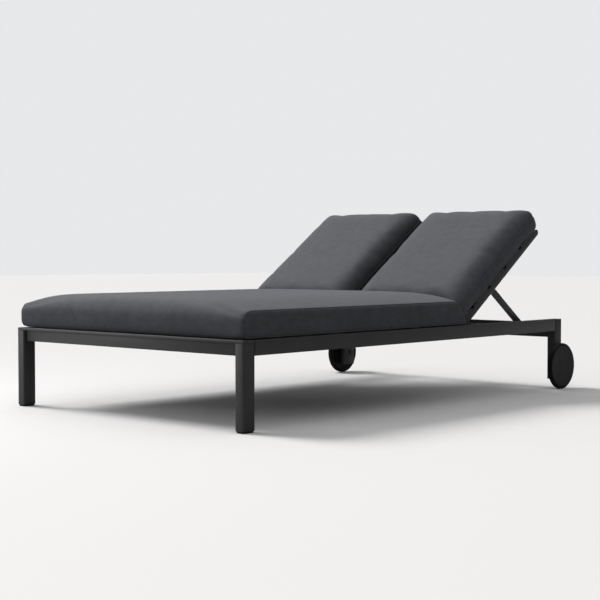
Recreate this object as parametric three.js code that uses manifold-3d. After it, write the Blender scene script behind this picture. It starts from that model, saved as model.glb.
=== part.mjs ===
// A double reclining sun lounger, in millimetres.
// +X is the right side seen from the foot end, +Y points from the foot end to the head end, +Z is up.
// The origin is on the floor, under the middle of the whole object.
import * as THREE from 'three';
import { mergeVertices } from 'three/addons/utils/BufferGeometryUtils.js';
import Module from 'manifold-3d';

// Driving dimensions of the frame
const frameWidth = 1220;
const frameLength = 2010;
const frameHeight = 305;
const legWidth = 40;
const legDepth = 56;
const railHeight = 52;
const railWidth = 40;
const lipHeight = 10;
const lipOverhang = 12;
const glideHeight = 6;
const rearLegBottom = 42;
const rearRailDrop = 29;
const hingeRailHeight = 23;
const gap = 0.3;

// Driving dimensions of the wheels
const wheelRadius = 100;
const wheelThickness = 20;
const wheelOffset = 4.5;
const treadDepth = 9;
const axleRadius = 7;
const axleHeadRadius = 12;
const wheelSegments = 48;

// Driving dimensions of the backrests
const pivotFromFoot = 1300;
const pivotHeight = 291;
const restAngle = THREE.MathUtils.degToRad(34.5);
const barWidth = 25;
const barDepth = 27;
const barLength = 705;
const barClearance = 4;
const hingeRodRadius = 6;
const slatWidth = 121;
const slatPitch = 143;
const slatThickness = 11;
const firstBackSlat = 186.5;
const narrowSlatWidth = 70;
const backSlatCount = 5;
const seatSlatCount = 8;

// Driving dimensions of the prop stays and their racks
const propLength = 300;
const propWidth = 20;
const propKnuckleRadius = 13;
const propRodRadius = 6;
const propClearance = 5;
const footBarRadius = 9;
const rackThickness = 12;
const rackInset = 10;
const rackAngles = [20, 34.5, 46, 58, 70];
const notchRadius = 10;
const notchDepth = 6;

// Driving dimensions of the cushions
const cushionThickness = 108;
const seatCushionWidth = 1208;
const backCushionWidth = 574;
const cushionGap = 12;
const cushionLift = 0.8;
const seatCushionInset = 8;
const wedgeAngle = THREE.MathUtils.degToRad(35);
const seatCushionRear = 15;
const backCushionFoot = 26;
const backCushionEnd = 668;

// Places worked out from them
const halfWidth = frameWidth / 2;
const innerHalf = halfWidth - railWidth;
const footY = -(frameLength - legDepth / 2 + wheelRadius) / 2;
const frontLegRear = footY + legDepth;
const rearLegFront = footY + frameLength - legDepth;
const axleY = rearLegFront + legDepth / 2;
const pivotY = footY + pivotFromFoot;
const railBottom = frameHeight - railHeight;
const deckBottom = frameHeight + gap;
const deckTop = deckBottom + slatThickness;
const barInner = railWidth / 2 + barClearance;
const barOuter = innerHalf - barClearance;
const slatNormal = barDepth / 2 + gap;
const cushionNormal = slatNormal + slatThickness + cushionLift;

// Materials
function coated(name, colour, roughness, metalness) {
  return new THREE.MeshStandardMaterial({ name, color: colour, roughness, metalness });
}
const frameCoat = coated('frame_coat', 0x3a3b3c, 0.5, 0.3);
const slatCoat = coated('slat_coat', 0x343536, 0.55, 0.3);
const steel = coated('steel', 0x8c8e90, 0.35, 1.0);
const wheelPlastic = coated('wheel_plastic', 0x222222, 0.6, 0.0);
const treadRubber = coated('tread_rubber', 0x1c1c1c, 0.85, 0.0);
const glidePlastic = coated('glide_plastic', 0x141414, 0.6, 0.0);
const canvas = coated('canvas', 0x55575b, 0.95, 0.0);

// Directions in which a section is extruded: its own x and y, then the way it runs
const axisX = new THREE.Vector3(1, 0, 0);
const axisY = new THREE.Vector3(0, 1, 0);
const axisZ = new THREE.Vector3(0, 0, 1);
const runAlong = {
  x: new THREE.Matrix4().makeBasis(axisY, axisZ, axisX),
  y: new THREE.Matrix4().makeBasis(axisZ, axisX, axisY),
  z: new THREE.Matrix4().makeBasis(axisX, axisY, axisZ),
};
// A turned shape's own y axis becomes the object's x axis
const turnAlongX = new THREE.Matrix4().makeBasis(axisZ, axisX, axisY);

function place(parent, name, geometry, material, x = 0, y = 0, z = 0) {
  const mesh = new THREE.Mesh(geometry, material);
  mesh.name = name;
  mesh.position.set(x, y, z);
  parent.add(mesh);
  return mesh;
}

// A rounded rectangle around a centre, in the two directions across the run
function roundedSection(width, height, radius, centreX = 0, centreY = 0) {
  const left = centreX - width / 2;
  const right = centreX + width / 2;
  const bottom = centreY - height / 2;
  const top = centreY + height / 2;
  const shape = new THREE.Shape();
  shape.moveTo(left + radius, bottom);
  shape.lineTo(right - radius, bottom);
  shape.absarc(right - radius, bottom + radius, radius, -Math.PI / 2, 0);
  shape.lineTo(right, top - radius);
  shape.absarc(right - radius, top - radius, radius, 0, Math.PI / 2);
  shape.lineTo(left + radius, top);
  shape.absarc(left + radius, top - radius, radius, Math.PI / 2, Math.PI);
  shape.lineTo(left, bottom + radius);
  shape.absarc(left + radius, bottom + radius, radius, Math.PI, 1.5 * Math.PI);
  return shape;
}

// A section extruded from one place to another along an axis
function extrude(shape, along, from, to, segments = 4) {
  const options = { depth: to - from, bevelEnabled: false, curveSegments: segments, steps: 1 };
  const geometry = new THREE.ExtrudeGeometry(shape, options);
  geometry.translate(0, 0, from);
  geometry.applyMatrix4(runAlong[along]);
  return geometry;
}

// Where something between two distances from the middle starts and ends on one side
function acrossSide(sign, from, to) {
  return sign > 0 ? [from, to] : [-to, -from];
}

function roundHole(x, y, radius) {
  const hole = new THREE.Path();
  hole.absarc(x, y, radius, 0, 2 * Math.PI);
  return hole;
}

// A shape turned about the x axis from [radius, place] pairs that start and end on the axis
function turn(profile, segments) {
  const points = profile.map(([radius, at]) => new THREE.Vector2(radius, at));
  const geometry = new THREE.LatheGeometry(points, segments);
  geometry.applyMatrix4(turnAlongX);
  return geometry;
}

// Solid booleans
const wasm = await Module();
wasm.setup();

function solidOf(geometry) {
  const bare = geometry.clone();
  bare.deleteAttribute('normal');
  bare.deleteAttribute('uv');
  const merged = mergeVertices(bare, 0.001);
  const vertProperties = new Float32Array(merged.attributes.position.array);
  const triVerts = new Uint32Array(merged.index.array);
  return new wasm.Manifold(new wasm.Mesh({ numProp: 3, vertProperties, triVerts }));
}

function geometryOf(solid) {
  const mesh = solid.getMesh();
  const geometry = new THREE.BufferGeometry();
  geometry.setAttribute('position', new THREE.BufferAttribute(mesh.vertProperties, 3));
  geometry.setIndex(new THREE.BufferAttribute(mesh.triVerts, 1));
  return geometry;
}

const lounger = new THREE.Group();
const sides = [['left', -1], ['right', 1]];

// ---- Legs, glides and axles ----
function addLegs(side, sign) {
  const x = sign * (halfWidth - legWidth / 2);
  const section = roundedSection(legWidth, legDepth, 6);
  const frontLeg = extrude(section, 'z', glideHeight + gap, frameHeight - lipHeight - gap);
  place(lounger, `leg_front_${side}`, frontLeg, frameCoat, x, footY + legDepth / 2);

  const glide = extrude(roundedSection(legWidth - 6, legDepth - 6, 4), 'z', 0, glideHeight);
  place(lounger, `glide_${side}`, glide, glidePlastic, x, footY + legDepth / 2);

  // The axle goes through the rear leg, so the leg is bored for it
  const rearLeg = extrude(section, 'z', rearLegBottom, frameHeight);
  const bore = axleRadius + 0.5;
  const boreTool = turn([[0, -legWidth], [bore, -legWidth], [bore, legWidth], [0, legWidth]], 24);
  boreTool.translate(0, 0, wheelRadius);
  const boredLeg = solidOf(rearLeg).subtract(solidOf(boreTool));
  place(lounger, `leg_rear_${side}`, geometryOf(boredLeg), frameCoat, x, axleY);
}

// A bolt whose head is inside the leg and whose end stops short of the wheel's outer skin
function addAxle(side, sign) {
  const headFrom = innerHalf - 6;
  const headTo = innerHalf - gap;
  const end = halfWidth + wheelOffset + wheelThickness - 7;
  const profile = [
    [0, headFrom], [axleHeadRadius, headFrom], [axleHeadRadius, headTo],
    [axleRadius, headTo], [axleRadius, end], [0, end],
  ];
  const axle = place(lounger, `axle_${side}`, turn(profile, 24), steel, 0, axleY, wheelRadius);
  if (sign < 0) {
    axle.rotation.z = Math.PI;
  }
}

for (const [side, sign] of sides) {
  addLegs(side, sign);
  addAxle(side, sign);
}

// ---- Rails ----
// The front rail is set back under a lip that covers the tops of the front legs
function frontRail() {
  const lipSection = roundedSection(frameWidth, legDepth, 6, 0, footY + legDepth / 2);
  const lip = extrude(lipSection, 'z', frameHeight - lipHeight, frameHeight);
  const depth = legDepth - lipOverhang;
  const height = railHeight - lipHeight / 2;
  const railSection = roundedSection(depth, height, 2, footY + legDepth - depth / 2, railBottom + height / 2);
  const rail = extrude(railSection, 'x', -innerHalf + gap, innerHalf - gap);
  return geometryOf(solidOf(lip).add(solidOf(rail)));
}
place(lounger, 'front_rail', frontRail(), frameCoat);

for (const [side, sign] of sides) {
  const middle = sign * (halfWidth - railWidth / 2);
  const section = roundedSection(railHeight, railWidth, 3, frameHeight - railHeight / 2, middle);
  const rail = extrude(section, 'y', frontLegRear + gap, rearLegFront - gap);
  place(lounger, `side_rail_${side}`, rail, frameCoat);
}

// The rear rail is dropped, so that the backrests lie over it when they are flat
const rearRailHeight = 50;
const rearRailMiddle = frameHeight - rearRailDrop - rearRailHeight / 2;
const rearRailY = rearLegFront + railWidth / 2;
const rearSection = roundedSection(railWidth, rearRailHeight, 3, rearRailY, rearRailMiddle);
place(lounger, 'rear_rail', extrude(rearSection, 'x', -innerHalf + gap, innerHalf - gap), frameCoat);

// The centre rail carries the inner ends of both backrests, so it is bored for the hinge rod
function centreRail() {
  const shape = new THREE.Shape();
  shape.moveTo(frontLegRear + gap, railBottom);
  shape.lineTo(rearLegFront - gap, railBottom);
  shape.lineTo(rearLegFront - gap, frameHeight);
  shape.lineTo(frontLegRear + gap, frameHeight);
  shape.holes.push(roundHole(pivotY, pivotHeight, hingeRodRadius + 0.4));
  return extrude(shape, 'x', -railWidth / 2, railWidth / 2, 12);
}
place(lounger, 'centre_rail', centreRail(), frameCoat);

for (const [side, sign] of sides) {
  const across = acrossSide(sign, railWidth / 2 + gap, innerHalf - gap);
  const section = roundedSection(railWidth, hingeRailHeight, 2, pivotY, railBottom + hingeRailHeight / 2);
  place(lounger, `hinge_rail_${side}`, extrude(section, 'x', ...across), frameCoat);
}

const rodEnd = innerHalf - gap;
const hingeRod = turn([[0, -rodEnd], [hingeRodRadius, -rodEnd], [hingeRodRadius, rodEnd], [0, rodEnd]], 24);
place(lounger, 'hinge_rod', hingeRod, steel, 0, pivotY, pivotHeight);

// ---- Seat slats ----
const seatSlatSection = roundedSection(slatWidth, slatThickness, 3);
const firstSeatSlat = frontLegRear + 4 + slatWidth / 2;
const lastSeatSlat = pivotY - 22 - slatWidth / 2;
for (let i = 0; i < seatSlatCount; i += 1) {
  const y = firstSeatSlat + (lastSeatSlat - firstSeatSlat) * i / (seatSlatCount - 1);
  const slat = extrude(seatSlatSection, 'x', -innerHalf - 6, innerHalf + 6);
  place(lounger, `seat_slat_${i + 1}`, slat, slatCoat, 0, y, deckBottom + slatThickness / 2);
}

// ---- Racks ----
// Each rack is a flat bar with a rounded notch for every setting of the backrest
function rackShape() {
  const crest = pivotHeight - footBarRadius - 0.5;
  const notchCentre = crest - notchDepth + notchRadius;
  const halfAngle = Math.acos((notchCentre - crest) / notchRadius);
  const front = pivotY + railWidth / 2 + gap;
  const rear = rearLegFront - gap;
  const shape = new THREE.Shape();
  shape.moveTo(rear, crest);
  shape.lineTo(rear, railBottom);
  shape.lineTo(front, railBottom);
  shape.lineTo(front, crest);
  for (const angle of [...rackAngles].reverse()) {
    const notchY = pivotY + 2 * propLength * Math.cos(THREE.MathUtils.degToRad(angle));
    shape.absarc(notchY, notchCentre, notchRadius, -Math.PI / 2 - halfAngle, -Math.PI / 2 + halfAngle);
  }
  return shape;
}

const armInner = barInner + barWidth + propClearance;
const armOuter = barOuter - barWidth - propClearance;
for (const [side, sign] of sides) {
  const rackStarts = {
    inner: armInner + propWidth + rackInset,
    outer: armOuter - propWidth - rackInset - rackThickness,
  };
  for (const [end, start] of Object.entries(rackStarts)) {
    const across = acrossSide(sign, start, start + rackThickness);
    place(lounger, `rack_${side}_${end}`, extrude(rackShape(), 'x', ...across, 6), frameCoat);
  }
}

// ---- Seat cushion ----
function seatCushion() {
  const front = footY + seatCushionInset;
  const bottom = deckTop + cushionLift;
  const top = bottom + cushionThickness;
  const rear = pivotY - seatCushionRear;
  const rearTop = rear - cushionThickness * Math.tan(wedgeAngle);
  const shape = new THREE.Shape();
  shape.moveTo(front + 15, bottom);
  shape.lineTo(rear, bottom);
  shape.lineTo(rearTop, top);
  shape.lineTo(front + 35, top);
  shape.absarc(front + 35, top - 35, 35, Math.PI / 2, Math.PI);
  shape.lineTo(front, bottom + 15);
  shape.absarc(front + 15, bottom + 15, 15, Math.PI, 1.5 * Math.PI);
  return extrude(shape, 'x', -seatCushionWidth / 2, seatCushionWidth / 2, 6);
}
place(lounger, 'seat_cushion', seatCushion(), canvas);

// ---- Backrests ----
// A bar with rounded ends and a bore at each pivot, seen from the side
function boredBar(from, to, depth, bores) {
  const radius = depth / 2;
  const shape = new THREE.Shape();
  shape.moveTo(from, -radius);
  shape.lineTo(to - radius, -radius);
  shape.absarc(to - radius, 0, radius, -Math.PI / 2, Math.PI / 2);
  shape.lineTo(from, radius);
  shape.absarc(from, 0, radius, Math.PI / 2, 1.5 * Math.PI);
  for (const [at, size] of bores) {
    shape.holes.push(roundHole(at, 0, size));
  }
  return shape;
}

// A plain cushion whose foot slopes away from the seat cushion
function backCushionShape() {
  const bottom = cushionNormal;
  const top = cushionNormal + cushionThickness;
  const footTop = backCushionFoot + cushionThickness * Math.tan(wedgeAngle);
  const shape = new THREE.Shape();
  shape.moveTo(backCushionFoot, bottom);
  shape.lineTo(backCushionEnd - 15, bottom);
  shape.absarc(backCushionEnd - 15, bottom + 15, 15, -Math.PI / 2, 0);
  shape.lineTo(backCushionEnd, top - 35);
  shape.absarc(backCushionEnd - 35, top - 35, 35, 0, Math.PI / 2);
  shape.lineTo(footTop, top);
  return shape;
}

function addBackrest(side, sign) {
  const back = new THREE.Group();
  back.position.set(0, pivotY, pivotHeight);
  back.rotation.x = restAngle;
  lounger.add(back);
  const across = (from, to) => acrossSide(sign, from, to);

  const barShape = boredBar(0, barLength, barDepth, [[0, hingeRodRadius + 0.5]]);
  const innerBar = extrude(barShape, 'x', ...across(barInner, barInner + barWidth), 12);
  const outerBar = extrude(barShape, 'x', ...across(barOuter - barWidth, barOuter), 12);
  place(back, `back_bar_${side}_inner`, innerBar, frameCoat);
  place(back, `back_bar_${side}_outer`, outerBar, frameCoat);

  const betweenBars = across(barInner + barWidth + gap, barOuter - barWidth - gap);
  const topBarSection = roundedSection(barWidth, barDepth, 3, barLength - barWidth / 2 - 4, 0);
  place(back, `back_top_bar_${side}`, extrude(topBarSection, 'x', ...betweenBars), frameCoat);

  // A narrow slat next to the hinge, then the full ones
  for (let i = 0; i < backSlatCount; i += 1) {
    const upper = firstBackSlat + slatPitch * (i - 1) + slatWidth / 2;
    const width = i === 0 ? narrowSlatWidth : slatWidth;
    const height = slatNormal + slatThickness / 2;
    const section = roundedSection(width, slatThickness, 3, upper - width / 2, height);
    const slat = extrude(section, 'x', ...across(barInner, barOuter));
    place(back, `back_slat_${side}_${i + 1}`, slat, slatCoat);
  }

  const cushionEnds = across(cushionGap / 2, cushionGap / 2 + backCushionWidth);
  place(back, `back_cushion_${side}`, extrude(backCushionShape(), 'x', ...cushionEnds, 6), canvas);

  addPropRod(back, side, sign);
  addProp(back, side, sign);
}

// The rod that the prop stay swings on has a collar between each bar and arm
function addPropRod(back, side, sign) {
  const near = barInner + barWidth + gap;
  const far = barOuter - barWidth - gap;
  const collarNear = armInner - gap;
  const collarFar = armOuter + gap;
  const profile = [
    [0, near], [propRodRadius + 4, near], [propRodRadius + 4, collarNear], [propRodRadius, collarNear],
    [propRodRadius, collarFar], [propRodRadius + 4, collarFar], [propRodRadius + 4, far], [0, far],
  ];
  const rod = place(back, `prop_rod_${side}`, turn(profile, 20), steel, 0, propLength, 0);
  if (sign < 0) {
    rod.rotation.z = Math.PI;
  }
}

// Two arms joined by the foot bar that rests on the racks
function addProp(back, side, sign) {
  const prop = new THREE.Group();
  prop.position.set(0, propLength, 0);
  prop.rotation.x = -2 * restAngle;
  back.add(prop);

  const shape = new THREE.Shape();
  const half = propWidth / 2;
  const knuckleSweep = Math.asin(half / propKnuckleRadius);
  shape.absarc(0, 0, propKnuckleRadius, knuckleSweep, 2 * Math.PI - knuckleSweep);
  shape.lineTo(propLength, -half);
  shape.absarc(propLength, 0, half, -Math.PI / 2, Math.PI / 2);
  shape.holes.push(roundHole(0, 0, propRodRadius + 0.5));
  const arms = { inner: armInner, outer: armOuter - propWidth };
  for (const [end, start] of Object.entries(arms)) {
    const across = acrossSide(sign, start, start + propWidth);
    place(prop, `prop_arm_${side}_${end}`, extrude(shape, 'x', ...across, 12), frameCoat);
  }

  const from = armInner + propWidth + gap;
  const to = armOuter - propWidth - gap;
  const footBar = turn([[0, from], [footBarRadius, from], [footBarRadius, to], [0, to]], 24);
  const bar = place(prop, `prop_foot_${side}`, footBar, frameCoat, 0, propLength, 0);
  if (sign < 0) {
    bar.rotation.z = Math.PI;
  }
}

for (const [side, sign] of sides) {
  addBackrest(side, sign);
}

// ---- Wheels ----
// A plain moulded disc, blind on the outside, with a rubber tread round it
function addWheel(side, sign) {
  const wheel = new THREE.Group();
  wheel.position.set(0, axleY, wheelRadius);
  wheel.rotation.z = sign < 0 ? Math.PI : 0;
  lounger.add(wheel);
  const inner = halfWidth + wheelOffset;
  const outer = inner + wheelThickness;
  const bore = axleRadius + 0.5;
  const boreEnd = outer - 6;
  const rim = wheelRadius - treadDepth;
  const discEdge = rim - gap;
  const disc = [
    [0, boreEnd], [bore, boreEnd], [bore, inner],
    [discEdge, inner], [discEdge, outer], [0, outer],
  ];
  place(wheel, `wheel_disc_${side}`, turn(disc, wheelSegments), wheelPlastic);

  const round = 6;
  const roundSteps = 3;
  const tread = [[rim, outer], [rim, inner]];
  for (let i = 0; i <= roundSteps; i += 1) {
    const angle = i / roundSteps * Math.PI / 2;
    tread.push([wheelRadius - round + round * Math.sin(angle), inner + round - round * Math.cos(angle)]);
  }
  for (let i = 0; i <= roundSteps; i += 1) {
    const angle = i / roundSteps * Math.PI / 2;
    tread.push([wheelRadius - round + round * Math.cos(angle), outer - round + round * Math.sin(angle)]);
  }
  tread.push([rim, outer]);
  place(wheel, `wheel_tread_${side}`, turn(tread, wheelSegments), treadRubber);
}

for (const [side, sign] of sides) {
  addWheel(side, sign);
}

export default lounger;
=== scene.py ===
import math
import bmesh
import bpy
from mathutils import Matrix, Vector
from mathutils.kdtree import KDTree


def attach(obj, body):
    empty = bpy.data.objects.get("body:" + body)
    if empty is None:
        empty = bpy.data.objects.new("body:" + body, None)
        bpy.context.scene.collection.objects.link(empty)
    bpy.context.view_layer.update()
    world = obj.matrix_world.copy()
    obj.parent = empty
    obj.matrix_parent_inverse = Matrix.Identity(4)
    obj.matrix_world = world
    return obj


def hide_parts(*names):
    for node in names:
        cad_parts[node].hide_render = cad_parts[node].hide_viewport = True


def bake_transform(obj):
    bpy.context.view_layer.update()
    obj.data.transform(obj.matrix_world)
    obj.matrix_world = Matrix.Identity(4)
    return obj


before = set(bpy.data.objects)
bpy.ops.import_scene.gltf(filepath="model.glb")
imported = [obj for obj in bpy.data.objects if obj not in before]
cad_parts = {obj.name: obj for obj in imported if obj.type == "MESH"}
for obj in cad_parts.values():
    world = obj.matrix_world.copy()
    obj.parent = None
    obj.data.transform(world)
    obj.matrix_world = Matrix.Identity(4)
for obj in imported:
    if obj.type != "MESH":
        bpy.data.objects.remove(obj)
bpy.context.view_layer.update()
scene = bpy.context.scene

# Camera: a long lens at low standing height off the foot end's right corner, looking slightly down
# along the lounger, as a catalogue picture of a daybed is taken.
CAMERA_YAW = math.radians(41.70)
CAMERA_PITCH = math.radians(1.91)
camera_data = bpy.data.cameras.new("camera")
camera_data.sensor_width = 36
camera_data.lens = 77.7
camera = bpy.data.objects.new("camera", camera_data)
camera.location = (3.541, -4.054, 0.578)
camera.rotation_euler = (math.pi / 2 - CAMERA_PITCH, 0, CAMERA_YAW)
scene.collection.objects.link(camera)
scene.camera = camera

# Studio: a pale plain floor and surround, one very soft sun high on the left, and a low soft light
# off the foot end's left corner that draws out the legs and the front rail.
scene.view_settings.view_transform = "Standard"
world = bpy.data.worlds.new("surround")
world.use_nodes = True
sky_nodes, sky_links = world.node_tree.nodes, world.node_tree.links
glow = sky_nodes["Background"]
direction = sky_nodes.new("ShaderNodeTexCoord")
height = sky_nodes.new("ShaderNodeSeparateXYZ")
sky_links.new(direction.outputs["Generated"], height.inputs[0])
dome = sky_nodes.new("ShaderNodeValToRGB")
dome.color_ramp.elements[0].position = 0.0
dome.color_ramp.elements[0].color = (0.075, 0.08, 0.09, 1)
dome.color_ramp.elements[1].position = 0.75
dome.color_ramp.elements[1].color = (1.0, 1.0, 1.0, 1)
sky_links.new(height.outputs["Z"], dome.inputs["Fac"])
sky_links.new(dome.outputs["Color"], glow.inputs["Color"])
glow.inputs["Strength"].default_value = 0.68
paper = sky_nodes.new("ShaderNodeBackground")
paper.inputs["Color"].default_value = (0.80, 0.81, 0.82, 1)
seen = sky_nodes.new("ShaderNodeLightPath")
choose = sky_nodes.new("ShaderNodeMixShader")
sky_links.new(seen.outputs["Is Camera Ray"], choose.inputs[0])
sky_links.new(glow.outputs[0], choose.inputs[1])
sky_links.new(paper.outputs[0], choose.inputs[2])
sky_links.new(choose.outputs[0], sky_nodes["World Output"].inputs["Surface"])
scene.world = world

SUN_WAY = (0.68, 0.10, -0.64)
sun_data = bpy.data.lights.new("sun", "SUN")
sun_data.energy = 2.8
sun_data.angle = math.radians(24)
sun = bpy.data.objects.new("sun", sun_data)
sun.rotation_euler = Vector(SUN_WAY).to_track_quat("-Z", "Y").to_euler()
scene.collection.objects.link(sun)
FOOT_LIGHT_PLACE = Vector((-1.9, -2.6, 0.8))
FOOT_LIGHT_TARGET = Vector((-0.4, -0.9, 0.25))
foot_light_data = bpy.data.lights.new("foot_light", "AREA")
foot_light_data.shape = "DISK"
foot_light_data.size = 1.2
foot_light_data.energy = 25
foot_light = bpy.data.objects.new("foot_light", foot_light_data)
foot_light.location = FOOT_LIGHT_PLACE
foot_light.rotation_euler = (FOOT_LIGHT_TARGET - FOOT_LIGHT_PLACE).to_track_quat("-Z", "Y").to_euler()
foot_light.visible_camera = False
scene.collection.objects.link(foot_light)

bpy.ops.object.select_all(action="DESELECT")
bpy.ops.mesh.primitive_plane_add(size=60, location=(0, 0, 0))
floor = bpy.context.active_object
floor.name = "studio_floor"
floor_paint = bpy.data.materials.new("studio_floor")
floor_paint.use_nodes = True
floor_shader = floor_paint.node_tree.nodes["Principled BSDF"]
floor_shader.inputs["Base Color"].default_value = (0.74, 0.73, 0.725, 1)
floor_shader.inputs["Roughness"].default_value = 0.8
floor.data.materials.append(floor_paint)


# Powder coat: charcoal polyester powder baked on aluminium, with a fine orange-peel skin, slightly
# uneven colour and gloss, and a little dust on faces that look up.
def node_group(name, inputs, outputs):
    group = bpy.data.node_groups.new(name, "ShaderNodeTree")
    for label, kind in inputs:
        group.interface.new_socket(label, in_out="INPUT", socket_type=kind)
    for label, kind in outputs:
        group.interface.new_socket(label, in_out="OUTPUT", socket_type=kind)
    return group, group.nodes.new("NodeGroupInput"), group.nodes.new("NodeGroupOutput")


def math_node(nodes, links, operation, a, b=None):
    node = nodes.new("ShaderNodeMath")
    node.operation = operation
    for socket, value in zip(node.inputs, (a, b)):
        if value is None:
            continue
        if isinstance(value, (int, float)):
            socket.default_value = value
        else:
            links.new(value, socket)
    return node.outputs[0]


def ramp_node(nodes, links, value, stops):
    node = nodes.new("ShaderNodeValToRGB")
    node.color_ramp.elements[0].position = stops[0][0]
    node.color_ramp.elements[0].color = stops[0][1]
    node.color_ramp.elements[1].position = stops[-1][0]
    node.color_ramp.elements[1].color = stops[-1][1]
    for place, colour in stops[1:-1]:
        node.color_ramp.elements.new(place).color = colour
    links.new(value, node.inputs["Fac"])
    return node.outputs["Color"]


def grey(value, blue=1.0):
    return (value, value, value * blue, 1)


def noise_node(nodes, links, vector, scale, detail=2.0, roughness=0.5):
    node = nodes.new("ShaderNodeTexNoise")
    node.inputs["Scale"].default_value = scale
    node.inputs["Detail"].default_value = detail
    node.inputs["Roughness"].default_value = roughness
    links.new(vector, node.inputs["Vector"])
    return node.outputs["Fac"]


def build_dust_group():
    group, given, result = node_group(
        "settled_dust",
        [("Vector", "NodeSocketVector"), ("Normal", "NodeSocketVector")],
        [("Dust", "NodeSocketFloat")],
    )
    nodes, links = group.nodes, group.links
    split = nodes.new("ShaderNodeSeparateXYZ")
    links.new(given.outputs["Normal"], split.inputs[0])
    upward = math_node(nodes, links, "MAXIMUM", split.outputs["Z"], 0.0)
    upward = math_node(nodes, links, "POWER", upward, 3.0)
    patches = noise_node(nodes, links, given.outputs["Vector"], 9.0, 5.0, 0.6)
    links.new(math_node(nodes, links, "MULTIPLY", upward, patches), result.inputs["Dust"])
    return group


settled_dust = build_dust_group()


def build_peel_group():
    group, given, result = node_group(
        "powder_skin",
        [("Vector", "NodeSocketVector")],
        [("Height", "NodeSocketFloat"), ("Patches", "NodeSocketFloat")],
    )
    nodes, links = group.nodes, group.links
    peel = noise_node(nodes, links, given.outputs["Vector"], 420.0, 3.0, 0.55)
    grit = noise_node(nodes, links, given.outputs["Vector"], 1500.0, 1.0, 0.5)
    height = math_node(nodes, links, "ADD", peel, math_node(nodes, links, "MULTIPLY", grit, 0.4))
    links.new(height, result.inputs["Height"])
    links.new(noise_node(nodes, links, given.outputs["Vector"], 14.0, 4.0, 0.6), result.inputs["Patches"])
    return group


powder_skin = build_peel_group()


def powder_coat(name, dark, light, roughness):
    material = bpy.data.materials.new(name)
    material.use_nodes = True
    nodes, links = material.node_tree.nodes, material.node_tree.links
    shader = nodes["Principled BSDF"]
    place = nodes.new("ShaderNodeTexCoord")
    skin = nodes.new("ShaderNodeGroup")
    skin.node_tree = powder_skin
    links.new(place.outputs["Object"], skin.inputs["Vector"])
    dust = nodes.new("ShaderNodeGroup")
    dust.node_tree = settled_dust
    links.new(place.outputs["Object"], dust.inputs["Vector"])
    links.new(place.outputs["Normal"], dust.inputs["Normal"])
    shades = [(0.3, grey(dark, 1.04)), (0.7, grey(light, 1.04))]
    tone = ramp_node(nodes, links, skin.outputs["Patches"], shades)
    dusty = nodes.new("ShaderNodeMixRGB")
    links.new(math_node(nodes, links, "MULTIPLY", dust.outputs["Dust"], 0.16), dusty.inputs["Fac"])
    links.new(tone, dusty.inputs["Color1"])
    dusty.inputs["Color2"].default_value = (0.30, 0.29, 0.27, 1)
    links.new(dusty.outputs["Color"], shader.inputs["Base Color"])
    rough = math_node(nodes, links, "MULTIPLY", skin.outputs["Patches"], 0.16)
    rough = math_node(nodes, links, "ADD", rough, roughness)
    dull = math_node(nodes, links, "MULTIPLY", dust.outputs["Dust"], 0.2)
    rough = math_node(nodes, links, "ADD", rough, dull)
    links.new(rough, shader.inputs["Roughness"])
    shader.inputs["Metallic"].default_value = 0.0
    shader.inputs["Specular IOR Level"].default_value = 0.22
    bump = nodes.new("ShaderNodeBump")
    bump.inputs["Strength"].default_value = 0.25
    bump.inputs["Distance"].default_value = 0.0004
    links.new(skin.outputs["Height"], bump.inputs["Height"])
    links.new(bump.outputs["Normal"], shader.inputs["Normal"])
    return material


frame_coat = powder_coat("frame_coat", 0.020, 0.026, 0.42)
slat_coat = powder_coat("slat_coat", 0.016, 0.021, 0.46)


# Legs and rails: rectangular aluminium tube with softly rolled corners, cut square and welded into
# one rigid bed frame. Each is a block of the tube's size whose long corners and cut ends are rolled.
X, Y, Z = 0, 1, 2
SHARP_ANGLE = math.radians(40)
CUT_EDGE = 0.0008


def node_bounds(node, turned=Matrix.Identity(4)):
    """The lowest and highest corner of a CAD node in a frame that is turned from the object's."""
    into = turned.inverted()
    corners = [into @ v.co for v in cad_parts[node].data.vertices]
    low = Vector([min(c[i] for c in corners) for i in range(3)])
    high = Vector([max(c[i] for c in corners) for i in range(3)])
    return low, high


def only(piece):
    bpy.ops.object.select_all(action="DESELECT")
    piece.select_set(True)
    bpy.context.view_layer.objects.active = piece


def block(name, low, high):
    bpy.ops.object.select_all(action="DESELECT")
    bpy.ops.mesh.primitive_cube_add(size=1, location=(low + high) / 2, scale=high - low)
    piece = bpy.context.active_object
    piece.name = name
    bpy.ops.object.transform_apply(location=True, rotation=True, scale=True)
    return piece


def roll_edges(piece, radius, segments, wanted):
    """Bevels the edges for which wanted(first corner, second corner) is true."""
    only(piece)
    bpy.ops.object.mode_set(mode="EDIT")
    bpy.ops.mesh.select_mode(type="EDGE")
    bpy.ops.mesh.select_all(action="DESELECT")
    mesh = bmesh.from_edit_mesh(piece.data)
    for edge in mesh.edges:
        if wanted(edge.verts[0].co, edge.verts[1].co):
            edge.select_set(True)
    bmesh.update_edit_mesh(piece.data)
    bpy.ops.mesh.bevel(offset=radius, segments=segments, affect="EDGES", profile=0.5)
    bpy.ops.object.mode_set(mode="OBJECT")


def rolled_tube(name, low, high, along, corner, end=CUT_EDGE):
    """A tube of that box: corner is the radius of its long corners, end that of its cut ends."""
    piece = block(name, low, high)
    roll_edges(piece, corner, 4, lambda a, b: abs(a[along] - b[along]) > 0.5 * (high[along] - low[along]))
    ends = (low[along], high[along])
    roll_edges(piece, end, 2, lambda a, b: any(abs(a[along] - e) + abs(b[along] - e) < 1e-6 for e in ends))
    only(piece)
    bpy.ops.object.shade_smooth_by_angle(angle=SHARP_ANGLE)
    return piece


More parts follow.
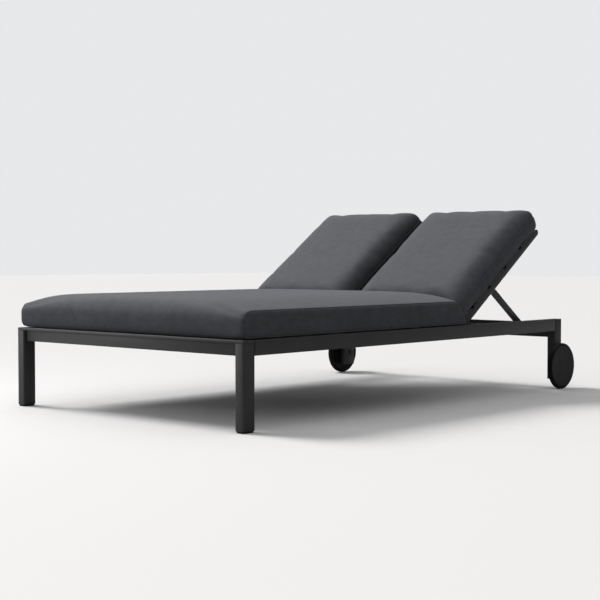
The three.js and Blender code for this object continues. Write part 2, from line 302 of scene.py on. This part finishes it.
def put_on(piece, material, body, slot, *nodes):
    piece.data.materials.clear()
    piece.data.materials.append(material)
    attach(piece, body)
    if nodes:
        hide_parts(*nodes)
    return piece


SIDES = ("left", "right")
LEG_CORNER = 0.006
RAIL_CORNER = 0.003
for side in SIDES:
    for end in ("front", "rear"):
        node = f"leg_{end}_{side}"
        leg = rolled_tube(f"{end}_leg_{side}", *node_bounds(node), Z, LEG_CORNER)
        put_on(leg, frame_coat, "frame", "frame_coat", node)
    node = f"side_rail_{side}"
    rail = rolled_tube(f"side_tube_{side}", *node_bounds(node), Y, RAIL_CORNER)
    put_on(rail, frame_coat, "frame", "frame_coat", node)
for node in ("rear_rail", "hinge_rail_left", "hinge_rail_right"):
    rail = rolled_tube(f"{node}_tube", *node_bounds(node), X, RAIL_CORNER)
    put_on(rail, frame_coat, "frame", "frame_coat", node)
centre = rolled_tube("centre_tube", *node_bounds("centre_rail"), Y, RAIL_CORNER)
put_on(centre, frame_coat, "frame", "frame_coat", "centre_rail")


# Front rail: a tube set back from the foot end, under a flat lip that is laid over it and over the
# tops of both front legs, so that the cushion's front edge rests on one clean line. The tube is
# welded in between the legs.
LIP_HEIGHT = 0.010
LIP_SETBACK = 0.012
LIP_CORNER = 0.006
LIP_EDGE = 0.0022
TOUCHING_GAP = 0.0003
front_low, front_high = node_bounds("front_rail")
lip = block("front_rail_and_lip", Vector((front_low.x, front_low.y, front_high.z - LIP_HEIGHT)), front_high)
roll_edges(lip, LIP_CORNER, 5, lambda a, b: abs(a.z - b.z) > 0.5 * LIP_HEIGHT)
roll_edges(lip, LIP_EDGE, 3, lambda a, b: abs(a.z - b.z) < 1e-6)
leg_low = node_bounds("leg_front_right")[0]
tube_low = Vector((-leg_low.x + TOUCHING_GAP, front_low.y + LIP_SETBACK, front_low.z))
tube_high = Vector((leg_low.x - TOUCHING_GAP, front_high.y, front_high.z - 0.5 * LIP_HEIGHT))
tube = rolled_tube("front_tube", tube_low, tube_high, X, RAIL_CORNER)
only(lip)
bpy.ops.object.shade_smooth_by_angle(angle=SHARP_ANGLE)
tube.select_set(True)
bpy.ops.object.join()
put_on(lip, frame_coat, "frame", "frame_coat", "front_rail")


# Glides: black moulded feet pressed into the open ends of the front legs, a little smaller than the
# tube, with soft edges and the pitted, dusty skin that all the black plastic and rubber here has.
def scuffed_plastic(name, tone, roughness, grain):
    material = bpy.data.materials.new(name)
    material.use_nodes = True
    nodes, links = material.node_tree.nodes, material.node_tree.links
    shader = nodes["Principled BSDF"]
    place = nodes.new("ShaderNodeTexCoord")
    dust = nodes.new("ShaderNodeGroup")
    dust.node_tree = settled_dust
    links.new(place.outputs["Object"], dust.inputs["Vector"])
    links.new(place.outputs["Normal"], dust.inputs["Normal"])
    flow = noise_node(nodes, links, place.outputs["Object"], 22.0, 5.0, 0.65)
    colour = ramp_node(nodes, links, flow, [(0.35, grey(tone)), (0.75, grey(tone * 1.5))])
    dusty = nodes.new("ShaderNodeMixRGB")
    links.new(math_node(nodes, links, "MULTIPLY", dust.outputs["Dust"], 0.2), dusty.inputs["Fac"])
    links.new(colour, dusty.inputs["Color1"])
    dusty.inputs["Color2"].default_value = (0.26, 0.25, 0.23, 1)
    links.new(dusty.outputs["Color"], shader.inputs["Base Color"])
    rough = math_node(nodes, links, "MULTIPLY", flow, 0.3)
    links.new(math_node(nodes, links, "ADD", rough, roughness - 0.15), shader.inputs["Roughness"])
    shader.inputs["Specular IOR Level"].default_value = 0.10
    pits = noise_node(nodes, links, place.outputs["Object"], grain, 2.0, 0.5)
    bump = nodes.new("ShaderNodeBump")
    bump.inputs["Strength"].default_value = 0.2
    bump.inputs["Distance"].default_value = 0.0005
    links.new(pits, bump.inputs["Height"])
    links.new(bump.outputs["Normal"], shader.inputs["Normal"])
    return material


glide_plastic = scuffed_plastic("glide_plastic", 0.010, 0.6, 900.0)
GLIDE_CORNER = 0.004
GLIDE_EDGE = 0.0015
for side in SIDES:
    node = f"glide_{side}"
    glide = rolled_tube(f"leg_glide_{side}", *node_bounds(node), Z, GLIDE_CORNER, GLIDE_EDGE)
    put_on(glide, glide_plastic, "frame", "glide_plastic", node)


# Seat slats: wide flat aluminium strips with rolled edges, laid across the rails from side to side
# under the seat cushion and coated a shade darker than the frame.
SEAT_SLATS = 8
SLAT_CORNER = 0.003
for number in range(1, SEAT_SLATS + 1):
    node = f"seat_slat_{number}"
    slat = rolled_tube(f"seat_strip_{number}", *node_bounds(node), X, SLAT_CORNER)
    put_on(slat, slat_coat, "frame", "slat_coat", node)


# Hardware: zinc-plated steel rods, and axle bolts coated as dark as the slats. The hinge rod runs
# through both backs and the centre tube, each prop hangs on a rod of its own, and a bolt through
# each rear leg carries a wheel.
steel = bpy.data.materials.new("plated_steel")
steel.use_nodes = True
nodes, links = steel.node_tree.nodes, steel.node_tree.links
shader = nodes["Principled BSDF"]
place = nodes.new("ShaderNodeTexCoord")
drawn = nodes.new("ShaderNodeMapping")
drawn.inputs["Scale"].default_value = (4.0, 160.0, 160.0)
links.new(place.outputs["Object"], drawn.inputs["Vector"])
lines = noise_node(nodes, links, drawn.outputs["Vector"], 3.0, 4.0, 0.6)
tone = ramp_node(nodes, links, lines, [(0.3, grey(0.34, 1.03)), (0.7, grey(0.47, 1.03))])
links.new(tone, shader.inputs["Base Color"])
rough = math_node(nodes, links, "MULTIPLY", lines, 0.3)
rough = math_node(nodes, links, "ADD", rough, 0.2)
links.new(rough, shader.inputs["Roughness"])
shader.inputs["Metallic"].default_value = 1.0
bump = nodes.new("ShaderNodeBump")
bump.inputs["Strength"].default_value = 0.15
bump.inputs["Distance"].default_value = 0.0002
links.new(lines, bump.inputs["Height"])
links.new(bump.outputs["Normal"], shader.inputs["Normal"])


def keep_node(node, material):
    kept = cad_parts[node]
    kept.data.materials.clear()
    kept.data.materials.append(material)


keep_node("hinge_rod", steel)
for side in SIDES:
    keep_node(f"axle_{side}", slat_coat)
    keep_node(f"prop_rod_{side}", steel)


# Backrest frames: each has two bars with rounded ends that swing on the hinge rod, a cross bar at
# the head and five strips screwed on from below. They are shown leaning, so each piece is made
# lying along Y with the hinge at zero and then set down at the angle of the back.
HINGE = Vector((0.0, 0.259, 0.291))
LEAN_ANGLE = math.radians(34.5)
LEAN = Matrix.Translation(HINGE) @ Matrix.Rotation(LEAN_ANGLE, 4, "X")
BAR_EDGE = 0.0025
BACK_STRIPS = 5
SCREW_RADIUS = 0.0045
SCREW_HEIGHT = 0.0024
SCREW_DOME = 0.0015
SCREW_WALL = 0.0008
SCREW_SOCKET = 0.0012


def set_down(piece, place):
    only(piece)
    piece.matrix_world = place
    bpy.ops.object.transform_apply(location=True, rotation=True, scale=True)


def round_ended_bar(name, low, high):
    bar = block(name, low, high)
    end_radius = 0.5 * (high.z - low.z) - 0.0002
    roll_edges(bar, end_radius, 9, lambda a, b: abs(a.x - b.x) > 1e-5)
    roll_edges(bar, BAR_EDGE, 3, lambda a, b: abs(a.x - b.x) < 1e-6)
    only(bar)
    bpy.ops.object.shade_smooth_by_angle(angle=SHARP_ANGLE)
    return bar


def join_pieces(name, pieces):
    only(pieces[0])
    for piece in pieces[1:]:
        piece.select_set(True)
    bpy.ops.object.join()
    pieces[0].name = name
    return pieces[0]


def select_faces(piece, wanted):
    """Opens the active piece for editing with only the faces selected for which wanted is true."""
    bpy.ops.object.mode_set(mode="EDIT")
    bpy.ops.mesh.select_mode(type="FACE")
    bpy.ops.mesh.select_all(action="DESELECT")
    mesh = bmesh.from_edit_mesh(piece.data)
    for face in mesh.faces:
        if wanted(face):
            face.select_set(True)
    bmesh.update_edit_mesh(piece.data)


def button_screw():
    """A domed screw head with a shallow socket, facing down at the origin."""
    bpy.ops.object.select_all(action="DESELECT")
    bpy.ops.mesh.primitive_cylinder_add(
        vertices=24,
        radius=SCREW_RADIUS,
        depth=SCREW_HEIGHT,
        location=(0, 0, -0.5 * SCREW_HEIGHT),
    )
    head = bpy.context.active_object
    head.name = "button_screw"
    bpy.ops.object.transform_apply(location=True, rotation=True, scale=True)
    roll_edges(head, SCREW_DOME, 3, lambda a, b: max(a.z, b.z) < -0.9 * SCREW_HEIGHT)
    select_faces(head, lambda face: face.normal.z < -0.99)
    bpy.ops.mesh.inset(thickness=SCREW_WALL)
    bpy.ops.mesh.extrude_region_move(TRANSFORM_OT_translate={"value": (0, 0, SCREW_SOCKET)})
    bpy.ops.object.mode_set(mode="OBJECT")
    bpy.ops.object.shade_smooth_by_angle(angle=SHARP_ANGLE)
    return head


screw = button_screw()
for side in SIDES:
    body = f"back_{side}"
    bars = []
    for end in ("inner", "outer"):
        node = f"back_bar_{side}_{end}"
        low, high = node_bounds(node, LEAN)
        bars.append((low, high))
        bar = round_ended_bar(f"back_side_bar_{side}_{end}", low, high)
        set_down(bar, LEAN)
        put_on(bar, frame_coat, body, "frame_coat", node)
    node = f"back_top_bar_{side}"
    bar = rolled_tube(f"back_head_bar_{side}", *node_bounds(node, LEAN), X, RAIL_CORNER)
    set_down(bar, LEAN)
    put_on(bar, frame_coat, body, "frame_coat", node)
    heads = []
    for number in range(1, BACK_STRIPS + 1):
        node = f"back_slat_{side}_{number}"
        low, high = node_bounds(node, LEAN)
        slat = rolled_tube(f"back_strip_{side}_{number}", low, high, X, SLAT_CORNER)
        set_down(slat, LEAN)
        put_on(slat, slat_coat, body, "slat_coat", node)
        quarter = 0.25 * (high.y - low.y)
        for bar_low, bar_high in bars:
            for along in (low.y + quarter, high.y - quarter):
                head = screw.copy()
                head.data = screw.data.copy()
                scene.collection.objects.link(head)
                head.location = (0.5 * (bar_low.x + bar_high.x), along, bar_low.z)
                only(head)
                bpy.ops.object.transform_apply(location=True, rotation=True, scale=True)
                heads.append(head)
    heads = join_pieces(f"back_screws_{side}", heads)
    set_down(heads, LEAN)
    put_on(heads, steel, body, "steel")
bpy.data.objects.remove(screw)


# Props and racks: two arms and a foot bar hold up each back. The foot bar drops into notches that
# are cut in two flat racks, so the arms, racks and bars only need their cut edges broken.
def eased_copy(node, name, radius):
    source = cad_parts[node]
    piece = bpy.data.objects.new(name, source.data.copy())
    scene.collection.objects.link(piece)
    only(piece)
    bpy.ops.mesh.customdata_custom_splitnormals_clear()
    bpy.ops.object.mode_set(mode="EDIT")
    bpy.ops.mesh.select_all(action="SELECT")
    bpy.ops.mesh.remove_doubles(threshold=0.00002)
    bpy.ops.mesh.dissolve_limited(angle_limit=math.radians(1))
    bpy.ops.object.mode_set(mode="OBJECT")
    ease = piece.modifiers.new("ease", "BEVEL")
    ease.width = radius
    ease.segments = 2
    ease.limit_method = "ANGLE"
    ease.angle_limit = SHARP_ANGLE
    bpy.ops.object.modifier_apply(modifier="ease")
    bpy.ops.object.shade_smooth_by_angle(angle=SHARP_ANGLE)
    return piece


PROP_EDGE = 0.0015
RACK_EDGE = 0.0008
for side in SIDES:
    for end in ("inner", "outer"):
        arm = eased_copy(f"prop_arm_{side}_{end}", f"prop_stay_{side}_{end}", PROP_EDGE)
        put_on(arm, frame_coat, f"prop_{side}", "frame_coat", f"prop_arm_{side}_{end}")
        rack = eased_copy(f"rack_{side}_{end}", f"notched_rack_{side}_{end}", RACK_EDGE)
        put_on(rack, frame_coat, "frame", "frame_coat", f"rack_{side}_{end}")
    foot = eased_copy(f"prop_foot_{side}", f"prop_foot_bar_{side}", PROP_EDGE)
    put_on(foot, frame_coat, f"prop_{side}", "frame_coat", f"prop_foot_{side}")


# Wheels: a moulded black disc, blind and barely dished on the outside, hollowed between rim and hub
# on the inside, with a band of rubber stretched round it.
wheel_plastic = scuffed_plastic("wheel_plastic", 0.0055, 0.5, 700.0)
tread_rubber = scuffed_plastic("tread_rubber", 0.0045, 0.85, 420.0)
WHEEL_SIDES = 96
WHEEL_EDGE = 0.0012
RIM_LIP = 0.010
INNER_RIM = 0.7 * RIM_LIP
DISH = 0.0014
HUB_RADIUS = 0.022
HOLLOW = 0.007
TREAD_EDGE = 0.006


def lying_cylinder(name, low, high):
    bpy.ops.object.select_all(action="DESELECT")
    bpy.ops.mesh.primitive_cylinder_add(
        vertices=WHEEL_SIDES,
        radius=0.5 * (high.z - low.z),
        depth=high.x - low.x,
        location=(low + high) / 2,
        rotation=(0, math.pi / 2, 0),
    )
    piece = bpy.context.active_object
    piece.name = name
    bpy.ops.object.transform_apply(location=True, rotation=True, scale=True)
    return piece


for side in SIDES:
    outward = 1 if side == "right" else -1
    low, high = node_bounds(f"wheel_disc_{side}")
    disc = lying_cylinder(f"wheel_body_{side}", low, high)
    radius = 0.5 * (high.z - low.z)
    only(disc)
    select_faces(disc, lambda face: face.normal.x * outward > 0.9)
    bpy.ops.mesh.inset(thickness=RIM_LIP)
    bpy.ops.transform.translate(value=(-outward * DISH, 0, 0))
    bpy.ops.mesh.inset(thickness=radius - RIM_LIP - HUB_RADIUS)
    bpy.ops.transform.translate(value=(outward * DISH * 0.6, 0, 0))
    bpy.ops.object.mode_set(mode="OBJECT")
    select_faces(disc, lambda face: face.normal.x * outward < -0.9)
    bpy.ops.mesh.inset(thickness=INNER_RIM)
    bpy.ops.mesh.extrude_region_move(TRANSFORM_OT_translate={"value": (outward * HOLLOW, 0, 0)})
    bpy.ops.mesh.inset(thickness=radius - INNER_RIM - HUB_RADIUS)
    bpy.ops.mesh.extrude_region_move(TRANSFORM_OT_translate={"value": (-outward * HOLLOW, 0, 0)})
    bpy.ops.object.mode_set(mode="OBJECT")
    ease = disc.modifiers.new("ease", "BEVEL")
    ease.width = WHEEL_EDGE
    ease.segments = 3
    ease.limit_method = "ANGLE"
    ease.angle_limit = math.radians(30)
    bpy.ops.object.modifier_apply(modifier="ease")
    bpy.ops.object.shade_smooth_by_angle(angle=math.radians(30))
    put_on(disc, wheel_plastic, f"wheel_{side}", "wheel_plastic", f"wheel_disc_{side}")

    low, high = node_bounds(f"wheel_tread_{side}")
    tread = lying_cylinder(f"wheel_band_{side}", low, high)
    ends = (low.x, high.x)
    roll_edges(tread, TREAD_EDGE, 5, lambda a, b: any(abs(a.x - e) + abs(b.x - e) < 1e-6 for e in ends))
    select_faces(tread, lambda face: abs(face.normal.x) > 0.999)
    bpy.ops.mesh.inset(thickness=0.5 * (high.z - low.z) - TREAD_EDGE - radius - TOUCHING_GAP)
    bpy.ops.mesh.delete(type="FACE")
    mesh = bmesh.from_edit_mesh(tread.data)
    for edge in mesh.edges:
        edge.select_set(edge.is_boundary)
    bmesh.update_edit_mesh(tread.data)
    bpy.ops.mesh.bridge_edge_loops()
    bpy.ops.object.mode_set(mode="OBJECT")
    only(tread)
    bpy.ops.object.shade_smooth_by_angle(angle=math.radians(35))
    put_on(tread, tread_rubber, f"wheel_{side}", "tread_rubber", f"wheel_tread_{side}")


# Seat cushion: one wide slab of foam in a charcoal acrylic canvas cover. The canvas runs over the
# foot end in one piece and is closed by a flat side panel along each long side, sewn with a fine
# welt. It lies loose on the slats, its borders sinking on to the rails.
SEAT_LOW = Vector((-0.600, -1.034, 0.3150))
SEAT_HIGH = Vector((0.600, 0.2620, 0.4180))
SEAT_REAR_LEAN = 0.064
SEAT_FRONT_ROLL = 0.050
SEAT_SIDE_ROLL = 0.020
SEAT_REAR_ROLL = 0.016
SEAT_UNDER_ROLL = 0.022
SEAT_FRONT_LIMIT = -1.0405
SEAT_SIDE_LIMIT = 0.609
SHOULDER_FROM = 0.34
SHOULDER_DROP = 0.020
SHOULDER_HEIGHTS = (0.345, 0.46)
PRESSED_AT = 0.0075
SLAT_TOP = 0.3163
RAIL_TOP = 0.305
SIDE_RAIL_EDGE = (0.572, 0.588)
FRONT_RAIL_EDGE = (0.975, 0.990)
REST_GAP = 0.0008
SINK_HEIGHT = 0.035
CLOTH_FRAMES = 20
CLOTH_PRESSURE = 2.5
SEWN_WITHIN = 0.012
STITCH_STEP = 0.008
WELT_RADIUS = 0.0019
WELT_RISE = 0.0005


def foam_block(name, low, high, rounding, cut, lean=0.0):
    """A block of foam: rounding lists (axis of the edge, which ends of the other two, radius).
    Returns it with an even mesh, and the outlines of its two flat side panels."""
    foam = block(name, low, high)
    for along, first, second, radius in rounding:
        others = [axis for axis in (X, Y, Z) if axis != along]
        place = (high[others[0]] if first else low[others[0]], high[others[1]] if second else low[others[1]])

        def at_edge(a, b):
            return all(abs(co[others[0]] - place[0]) + abs(co[others[1]] - place[1]) < 1e-5 for co in (a, b))

        roll_edges(foam, radius, 8, at_edge)
    for vertex in foam.data.vertices:
        if vertex.co.y > 0.5 * (low.y + high.y):
            vertex.co.y -= lean * (vertex.co.z - low.z) / (high.z - low.z)
    outlines = []
    for face in foam.data.polygons:
        if abs(face.normal.x) > 0.999:
            outlines.append([foam.data.vertices[index].co.copy() for index in face.vertices])
    only(foam)
    remesh = foam.modifiers.new("even_mesh", "REMESH")
    remesh.mode = "VOXEL"
    remesh.voxel_size = cut
    bpy.ops.object.modifier_apply(modifier="even_mesh")
    bpy.ops.object.mode_set(mode="EDIT")
    bpy.ops.mesh.select_all(action="SELECT")
    bpy.ops.mesh.vertices_smooth(factor=0.5, repeat=2)
    bpy.ops.uv.cube_project(cube_size=1.0, correct_aspect=False, clip_to_bounds=False, scale_to_bounds=False)
    bpy.ops.object.mode_set(mode="OBJECT")
    return foam, outlines


def along_outline(outline, step):
    """Evenly spaced points round a closed outline."""
    points = []
    for a, b in zip(outline, outline[1:] + outline[:1]):
        count = max(1, round((b - a).length / step))
        points.extend(a.lerp(b, number / count) for number in range(count))
    return points


def swell(piece, most, sideways, easing, held=()):
    """Blows the cover up with the cloth solver, keeps the sewn edges where they are, and holds each
    point within most of its start, and less sideways. Gives back where each point started."""
    start = [vertex.co.copy() for vertex in piece.data.vertices]
    only(piece)
    cover = piece.modifiers.new("cover", "CLOTH")
    if held:
        tree = KDTree(len(held))
        for number, point in enumerate(held):
            tree.insert(point, number)
        tree.balance()
        sewn = piece.vertex_groups.new(name="sewn")
        for vertex in piece.data.vertices:
            if tree.find(vertex.co)[2] < SEWN_WITHIN:
                sewn.add([vertex.index], 1.0, "REPLACE")
        cover.settings.vertex_group_mass = "sewn"
        cover.settings.pin_stiffness = 1.0
    cover.settings.quality = 4
    cover.settings.mass = 0.3
    cover.settings.tension_stiffness = 15
    cover.settings.compression_stiffness = 15
    cover.settings.shear_stiffness = 5
    cover.settings.bending_stiffness = 0.5
    cover.settings.use_pressure = True
    cover.settings.uniform_pressure_force = CLOTH_PRESSURE
    cover.settings.effector_weights.gravity = 0
    cover.collision_settings.use_collision = False
    cover.collision_settings.use_self_collision = False
    cover.point_cache.frame_start = 1
    cover.point_cache.frame_end = CLOTH_FRAMES
    for number in range(1, CLOTH_FRAMES + 1):
        scene.frame_set(number)
    bpy.ops.object.modifier_apply(modifier="cover")
    scene.frame_set(1)
    for vertex, before in zip(piece.data.vertices, start):
        move = vertex.co - before
        if move.length > 1e-7:
            move *= most * math.tanh(move.length / most) / move.length
            vertex.co = before + Vector((move.x * sideways, move.y * sideways, move.z))
    bpy.ops.object.mode_set(mode="EDIT")
    bpy.ops.mesh.select_all(action="SELECT")
    bpy.ops.mesh.vertices_smooth(factor=0.5, repeat=easing)
    bpy.ops.object.mode_set(mode="OBJECT")
    return start


def smooth_step(value, low, high):
    part = min(1.0, max(0.0, (value - low) / (high - low)))
    return part * part * (3 - 2 * part)


def welt(name, loops):
    """A fine piping: a closed cord of canvas along each loop of points."""
    cord = bpy.data.curves.new(name, "CURVE")
    cord.dimensions = "3D"
    cord.bevel_depth = WELT_RADIUS
    cord.bevel_resolution = 2
    for loop in loops:
        spline = cord.splines.new("POLY")
        spline.points.add(len(loop) - 1)
        for point, place in zip(spline.points, loop):
            point.co = (*place, 1)
        spline.use_cyclic_u = True
    piece = bpy.data.objects.new(name, cord)
    scene.collection.objects.link(piece)
    only(piece)
    bpy.ops.object.convert(target="MESH")
    bpy.ops.object.shade_smooth()
    return bpy.context.active_object


def follow(points, start, piece):
    """Where points on the block went when its cover was blown up, seated on the cover."""
    tree = KDTree(len(start))
    for number, place in enumerate(start):
        tree.insert(place, number)
    tree.balance()
    moved = []
    for point in points:
        shift = Vector((0, 0, 0))
        total = 0
        for place, number, distance in tree.find_n(point, 6):
            weight = 1 / (distance + 0.002)
            shift += (piece.data.vertices[number].co - place) * weight
            total += weight
        moved.append(point + shift / total)
    for _ in range(3):
        moved = [(moved[i - 1] + 2 * moved[i] + moved[(i + 1) % len(moved)]) / 4 for i in range(len(moved))]
    seated = []
    for point in moved:
        place, normal = piece.closest_point_on_mesh(point)[1:3]
        seated.append(place + normal * WELT_RISE)
    return seated


# Painted top light: faces that look up are mixed towards a paler grey, most where they face straight up and
# a little unevenly with the mottle, standing in for the light that falls on them from above.
def build_painted_top_light_group():
    group, given, result = node_group(
        "painted_top_light",
        [("Normal", "NodeSocketVector"), ("Patches", "NodeSocketFloat")],
        [("Fade", "NodeSocketFloat")],
    )
    nodes, links = group.nodes, group.links
    split = nodes.new("ShaderNodeSeparateXYZ")
    links.new(given.outputs["Normal"], split.inputs[0])
    upward = math_node(nodes, links, "MAXIMUM", split.outputs["Z"], 0.0)
    upward = math_node(nodes, links, "POWER", upward, 1.6)
    uneven = math_node(nodes, links, "MULTIPLY", given.outputs["Patches"], 0.5)
    uneven = math_node(nodes, links, "ADD", uneven, 0.75)
    top_light_paint = math_node(nodes, links, "MULTIPLY", upward, uneven)
    links.new(math_node(nodes, links, "MULTIPLY", top_light_paint, 0.44), result.inputs["Fade"])
    return group


painted_top_light = build_painted_top_light_group()


def canvas(name, dark, light):
    """Acrylic canvas: fine plain weave with uneven threads, slightly mottled and a little furry, with
    painted top light on faces that look up.
    """
    material = bpy.data.materials.new(name)
    material.use_nodes = True
    nodes, links = material.node_tree.nodes, material.node_tree.links
    shader = nodes["Principled BSDF"]
    place = nodes.new("ShaderNodeUVMap")
    threads = []
    for scale in ((900, 60, 60), (60, 900, 60)):
        stretch = nodes.new("ShaderNodeMapping")
        stretch.inputs["Scale"].default_value = scale
        links.new(place.outputs["UV"], stretch.inputs["Vector"])
        threads.append(noise_node(nodes, links, stretch.outputs["Vector"], 1.0, 2.0, 0.5))
    weave = math_node(nodes, links, "ADD", *threads)
    mottle = noise_node(nodes, links, place.outputs["UV"], 26.0, 6.0, 0.62)
    broad = noise_node(nodes, links, place.outputs["UV"], 5.0, 3.0, 0.5)
    mix = math_node(nodes, links, "MULTIPLY", weave, 0.28)
    mix = math_node(nodes, links, "ADD", mix, math_node(nodes, links, "MULTIPLY", mottle, 0.42))
    mix = math_node(nodes, links, "ADD", mix, math_node(nodes, links, "MULTIPLY", broad, 0.22))
    # The paler grey mixed in below is painted top light on faces that look up, not a colour of the canvas.
    top_lit_tone = nodes.new("ShaderNodeMixRGB")
    top_light_paint = nodes.new("ShaderNodeGroup")
    top_light_paint.node_tree = painted_top_light
    way = nodes.new("ShaderNodeTexCoord")
    links.new(way.outputs["Normal"], top_light_paint.inputs["Normal"])
    links.new(mottle, top_light_paint.inputs["Patches"])
    links.new(top_light_paint.outputs["Fade"], top_lit_tone.inputs["Fac"])
    links.new(ramp_node(nodes, links, mix, [(0.42, dark), (0.78, light)]), top_lit_tone.inputs["Color1"])
    top_lit_tone.inputs["Color2"].default_value = (0.20, 0.205, 0.22, 1)
    links.new(top_lit_tone.outputs["Color"], shader.inputs["Base Color"])
    rough = math_node(nodes, links, "MULTIPLY", mottle, 0.12)
    links.new(math_node(nodes, links, "ADD", rough, 0.82), shader.inputs["Roughness"])
    shader.inputs["Specular IOR Level"].default_value = 0.12
    shader.inputs["Sheen Weight"].default_value = 0.10
    shader.inputs["Sheen Roughness"].default_value = 0.5
    shader.inputs["Sheen Tint"].default_value = (0.72, 0.76, 0.84, 1)
    height = math_node(nodes, links, "ADD", weave, math_node(nodes, links, "MULTIPLY", mottle, 1.4))
    bump = nodes.new("ShaderNodeBump")
    bump.inputs["Strength"].default_value = 0.5
    bump.inputs["Distance"].default_value = 0.0008
    links.new(height, bump.inputs["Height"])
    links.new(bump.outputs["Normal"], shader.inputs["Normal"])
    return material


cushion_canvas = canvas("cushion_canvas", (0.022, 0.023, 0.0262, 1), (0.046, 0.0482, 0.054, 1))
seat_pad, seat_outlines = foam_block(
    "seat_pad",
    SEAT_LOW,
    SEAT_HIGH,
    [
        (X, 0, 1, SEAT_FRONT_ROLL),
        (X, 0, 0, SEAT_UNDER_ROLL),
        (X, 1, 1, SEAT_REAR_ROLL),
        (Y, 0, 1, SEAT_SIDE_ROLL),
        (Y, 1, 1, SEAT_SIDE_ROLL),
    ],
    cut=0.010,
    lean=SEAT_REAR_LEAN,
)
seat_seams = [along_outline(outline, STITCH_STEP) for outline in seat_outlines]
sewn_points = [point for seam in seat_seams for point in seam]
seat_start = swell(seat_pad, most=0.022, sideways=0.5, easing=3, held=sewn_points)


def rest_seat(co):
    """The height of a point once the cushion rests on the slats and sinks on to the rails round them."""
    over_rail = max(smooth_step(abs(co.x), *SIDE_RAIL_EDGE), smooth_step(-co.y, *FRONT_RAIL_EDGE))
    drop = over_rail * (SLAT_TOP - RAIL_TOP - 0.002)
    sink = drop * (1 - smooth_step(co.z, SLAT_TOP, SLAT_TOP + SINK_HEIGHT))
    return max(co.z - sink, SLAT_TOP + REST_GAP - drop)


# The crown falls away softly towards both long sides, and the rear of the cushion is pressed flat
# where the feet of the back cushions stand against it.
along_back = Vector((0, math.cos(LEAN_ANGLE), math.sin(LEAN_ANGLE)))
for vertex in seat_pad.data.vertices:
    outer = max(0.0, (abs(vertex.co.x) - SHOULDER_FROM) / (SEAT_HIGH.x - SHOULDER_FROM))
    vertex.co.z -= SHOULDER_DROP * outer ** 3 * smooth_step(vertex.co.z, *SHOULDER_HEIGHTS)
    vertex.co.z = rest_seat(vertex.co)
    vertex.co.y = max(vertex.co.y, SEAT_FRONT_LIMIT)
    vertex.co.x = max(-SEAT_SIDE_LIMIT, min(SEAT_SIDE_LIMIT, vertex.co.x))
    beyond = (vertex.co - HINGE).dot(along_back) - PRESSED_AT
    if beyond > 0:
        vertex.co.y -= beyond / along_back.y
seat_welts = welt("seat_welts", [follow(seam, seat_start, seat_pad) for seam in seat_seams])
only(seat_pad)
bpy.ops.object.shade_smooth()
put_on(seat_pad, cushion_canvas, "frame", "cushion_canvas", "seat_cushion")
put_on(seat_welts, cushion_canvas, "frame", "cushion_canvas")


# Back cushions: one slab of the same foam and canvas for each backrest, with fully rounded long
# edges. The foot of each stays against the seat cushion. They lie loose, both shifted a little to
# the right.
BACK_FOOT = -0.004
BACK_HEAD = 0.694
BACK_UNDER = 0.0280
BACK_FACE = 0.1245
BACK_INNER = 0.019
BACK_OUTER = 0.582
BACK_SHIFT = 0.010
BACK_FOOT_FACE = 0.0090
BACK_INNER_ROLL = 0.046
BACK_OUTER_ROLL = 0.036
BACK_HEAD_ROLL = 0.024
BACK_HEAD_UNDER_ROLL = 0.014
BACK_SIDE_UNDER_ROLL = 0.012
BACK_REST = 0.0256
BACK_INNER_LIMIT = 0.0035
BACK_OUTER_LIMIT = 0.592
for side in SIDES:
    outward = 1 if side == "right" else -1
    edges = sorted((outward * BACK_INNER + BACK_SHIFT, outward * BACK_OUTER + BACK_SHIFT))
    back_pad, outlines = foam_block(
        f"back_pad_{side}",
        Vector((edges[0], BACK_FOOT, BACK_UNDER)),
        Vector((edges[1], BACK_HEAD, BACK_FACE)),
        [
            (Y, side == "left", 1, BACK_INNER_ROLL),
            (Y, side == "right", 1, BACK_OUTER_ROLL),
            (X, 1, 1, BACK_HEAD_ROLL),
            (X, 1, 0, BACK_HEAD_UNDER_ROLL),
            (Y, 0, 0, BACK_SIDE_UNDER_ROLL),
            (Y, 1, 0, BACK_SIDE_UNDER_ROLL),
        ],
        cut=0.009,
    )
    seams = [along_outline(outline, STITCH_STEP) for outline in outlines]
    start = swell(back_pad, most=0.030, sideways=0.4, easing=8)
    for vertex in back_pad.data.vertices:
        vertex.co.z = max(vertex.co.z, BACK_REST)
        vertex.co.x = outward * min(BACK_OUTER_LIMIT, max(BACK_INNER_LIMIT, outward * vertex.co.x))
        vertex.co.y = max(vertex.co.y, BACK_FOOT_FACE)
    welts = welt(f"back_welts_{side}", [follow(seam, start, back_pad) for seam in seams])
    only(back_pad)
    bpy.ops.object.shade_smooth()
    for piece in (back_pad, welts):
        set_down(piece, LEAN)
        piece.data.materials.clear()
        piece.data.materials.append(cushion_canvas)
        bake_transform(piece)
    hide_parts(f"back_cushion_{side}")
